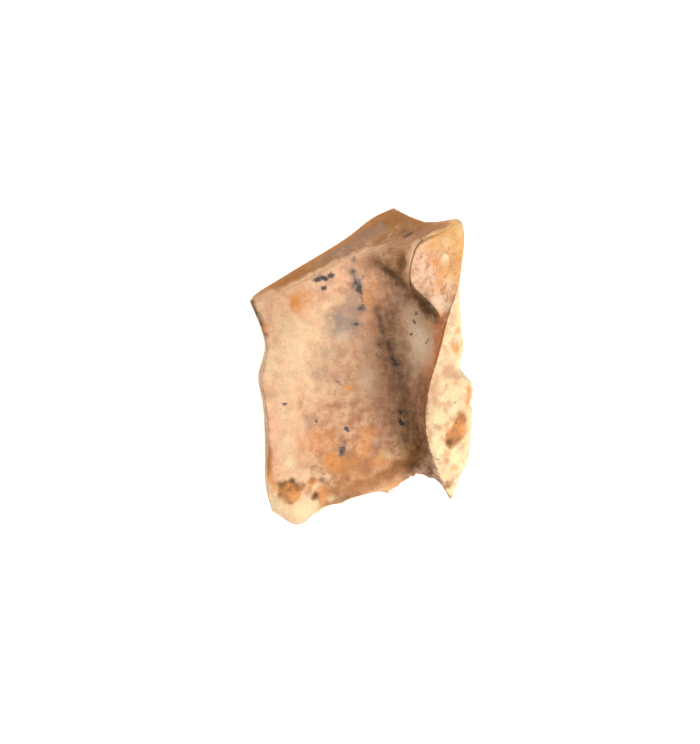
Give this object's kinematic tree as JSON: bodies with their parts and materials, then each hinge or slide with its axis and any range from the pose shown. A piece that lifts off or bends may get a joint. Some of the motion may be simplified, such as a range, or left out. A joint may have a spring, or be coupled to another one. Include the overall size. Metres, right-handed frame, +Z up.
{
  "type": "fossil ceratopsian tooth",
  "caption": "Fossil ceratopsian cheek tooth with an oblique worn crown, an enamel face with a sharp carina, a hollow flank and a broken forked root, lying on its flank.",
  "frame": {"origin": "on the surface the tooth lies on, under the middle of its outline", "axes": "+X towards the cheek (enamel) side, +Y from the broken root towards the worn crown, +Z up, out of the near flank"},
  "size_m": [0.0236, 0.0334, 0.0144],
  "materials": {
    "fossil": "matte, with satin enamel"
  },
  "bodies": {
    "root": {"tooth": "fossil"}
  },
  "joints": []
}
